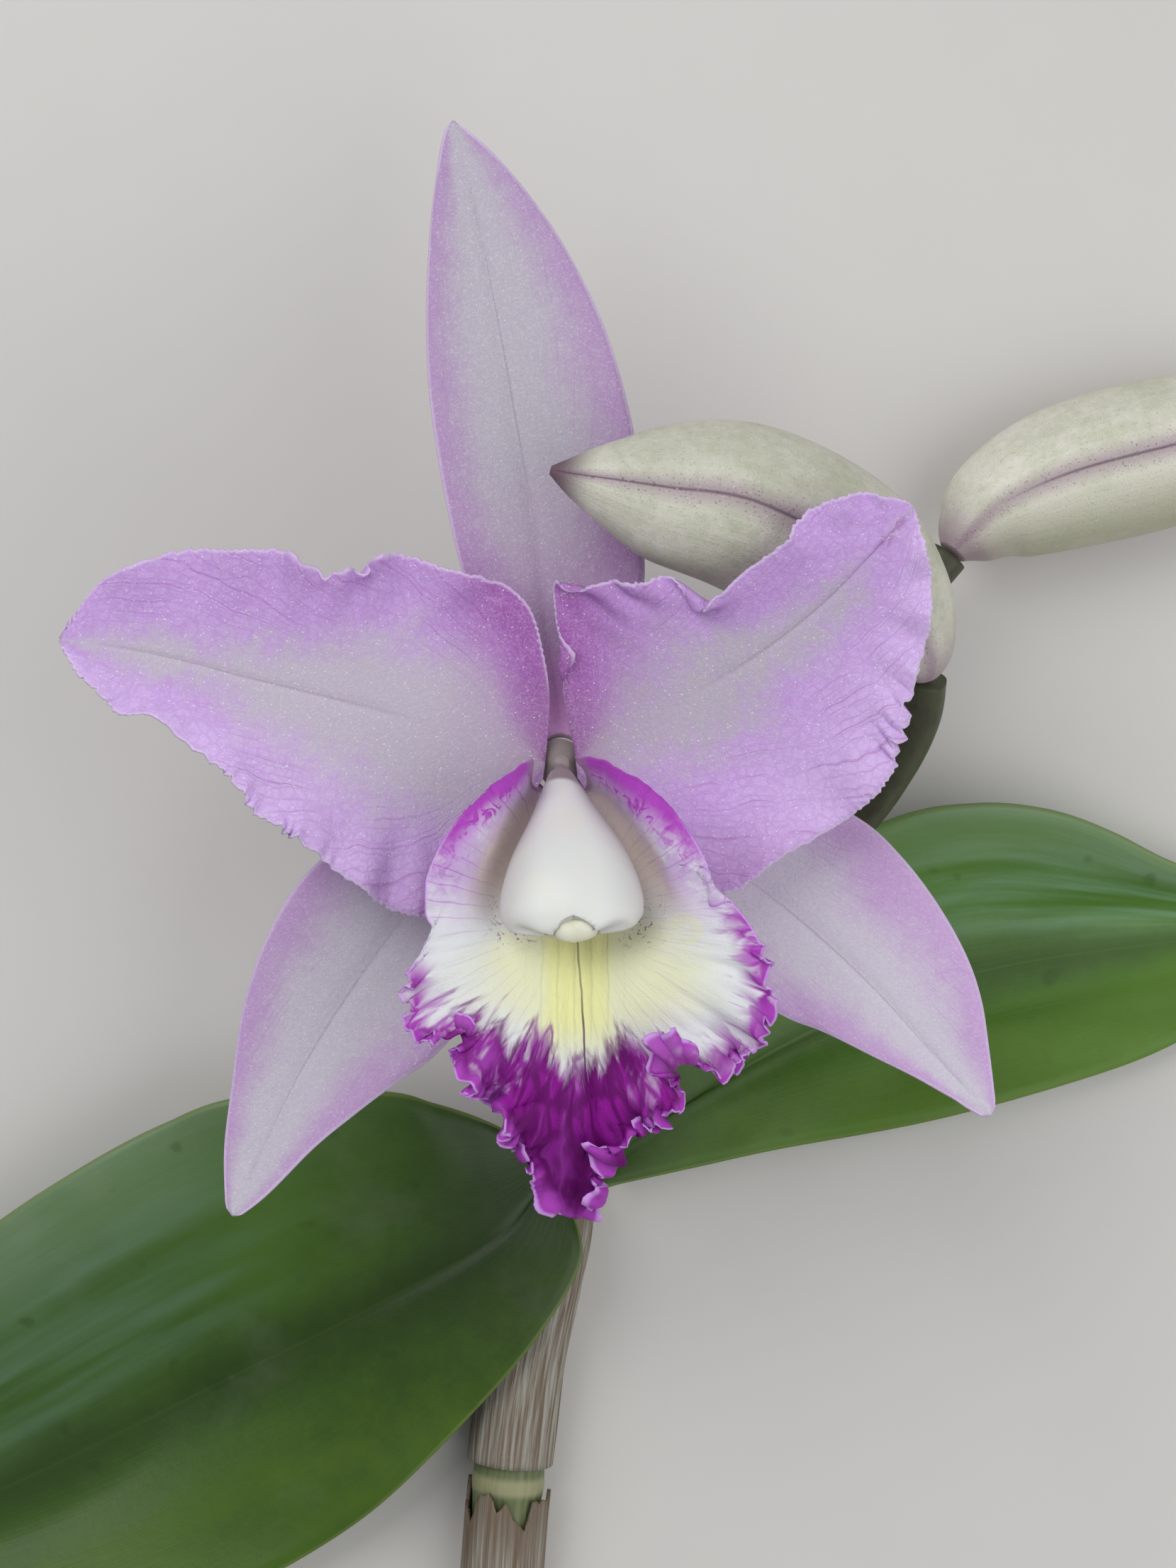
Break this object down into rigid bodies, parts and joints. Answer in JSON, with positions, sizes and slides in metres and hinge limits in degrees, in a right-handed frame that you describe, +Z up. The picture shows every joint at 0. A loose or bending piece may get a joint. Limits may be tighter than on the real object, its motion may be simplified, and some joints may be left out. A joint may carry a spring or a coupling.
{
  "type": "cattleya orchid",
  "caption": "Cut flowering growth of a cattleya orchid lying on its back: open frilled flower, closed buds, broad leaves and a sheathed cane.",
  "frame": {"origin": "x = y = 0 at the middle of the whole growth's outline seen from above, z = 0 on the surface that it lies on", "axes": "+Z up, from the surface to the open flower's face; +Y from the cane's cut end towards the dorsal sepal's tip; +X towards the rear bud"},
  "size_m": [0.2574, 0.263, 0.0785],
  "materials": {
    "sepal": "satin",
    "petal": "satin",
    "lip": "satin",
    "column": "satin",
    "anther_cap": "satin",
    "front_bud": "satin",
    "rear_bud": "satin",
    "stalk": "satin",
    "flower_sheath": "matte",
    "leaf": "gloss",
    "cane": "satin",
    "cane_sheath": "matte"
  },
  "bodies": {
    "root": {"dorsal_sepal": "sepal", "left_sepal": "sepal", "right_sepal": "sepal", "left_petal": "petal", "right_petal": "petal", "lip": "lip", "column": "column", "anther_cap": "anther_cap", "front_bud": "front_bud", "rear_bud": "rear_bud", "flower_stalks": "stalk", "flower_sheath": "flower_sheath", "left_leaf": "leaf", "right_leaf": "leaf", "cane": "cane", "lower_cane_sheath": "cane_sheath", "upper_cane_sheath": "cane_sheath"}
  },
  "joints": []
}
